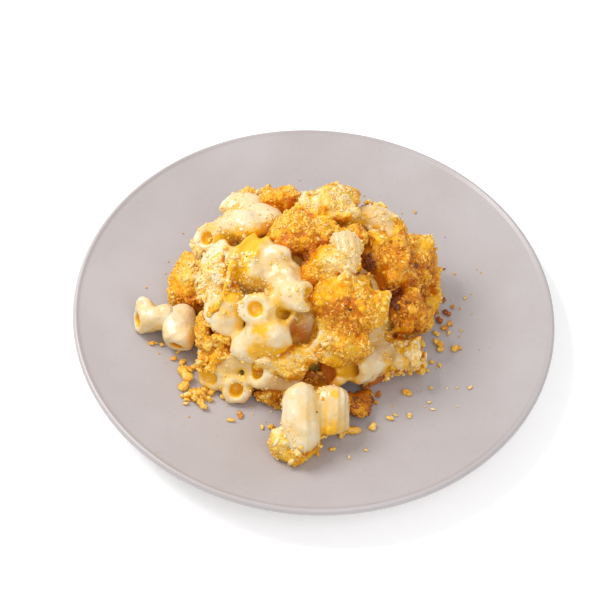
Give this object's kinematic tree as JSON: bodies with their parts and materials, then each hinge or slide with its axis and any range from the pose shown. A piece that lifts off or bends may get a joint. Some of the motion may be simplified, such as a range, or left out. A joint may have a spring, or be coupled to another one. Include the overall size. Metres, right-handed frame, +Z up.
{
  "type": "plated macaroni and cheese",
  "caption": "Serving of macaroni and cheese with toasted crumbs, heaped on a round coupe plate with loose elbows of pasta beside it.",
  "frame": {"origin": "middle of the plate where its foot ring stands on the table", "axes": "+Z up, the side shown to the viewer faces -Y, +X to the viewer's right"},
  "size_m": [0.22, 0.22, 0.062],
  "materials": {
    "plate_glaze": "satin glaze, warm lavender grey",
    "cheese_crumb": "toasted golden crumbs over cheese sauce",
    "sauced_pasta": "cooked pasta in a glossy pale cheese sauce"
  },
  "bodies": {
    "root": {"plate": "plate_glaze", "macaroni_heap": "cheese_crumb", "macaroni_stray_right": "sauced_pasta", "macaroni_stray_left": "sauced_pasta"}
  },
  "joints": []
}
